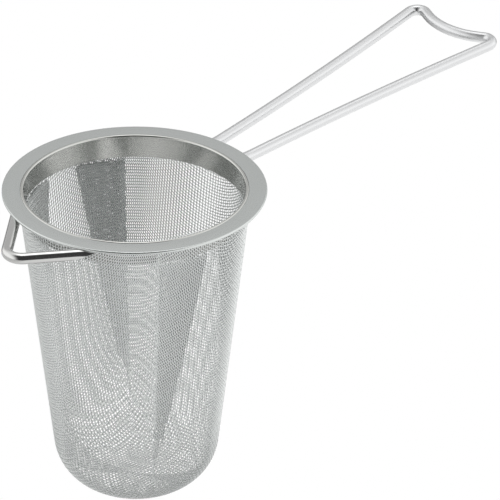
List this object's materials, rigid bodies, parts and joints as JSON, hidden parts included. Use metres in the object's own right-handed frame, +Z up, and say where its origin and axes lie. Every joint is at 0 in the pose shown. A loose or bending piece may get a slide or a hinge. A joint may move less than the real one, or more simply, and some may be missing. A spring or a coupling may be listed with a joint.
{
  "type": "tea strainer",
  "caption": "Deep tapered wire-mesh tea strainer with a flat steel rim, a long bent-wire handle and a V-shaped wire rest opposite it.",
  "frame": {"origin": "on the basket's axis, in the plane of the rim's underside", "axes": "+Z up along the basket's axis, out of its mouth; +X along the handle; the rest loop points along -X"},
  "size_m": [0.1741, 0.07, 0.0952],
  "materials": {
    "satin_steel": "satin, fine circular brushing",
    "woven_mesh": "bright drawn wire, plain square weave",
    "wire_steel": "bright satin drawn rod",
    "polished_wire": "polished rod"
  },
  "bodies": {
    "root": {"rim_flange": "satin_steel", "inner_collar": "satin_steel", "mesh_basket": "woven_mesh", "handle_wire": "wire_steel", "rest_loop": "polished_wire"}
  },
  "joints": []
}
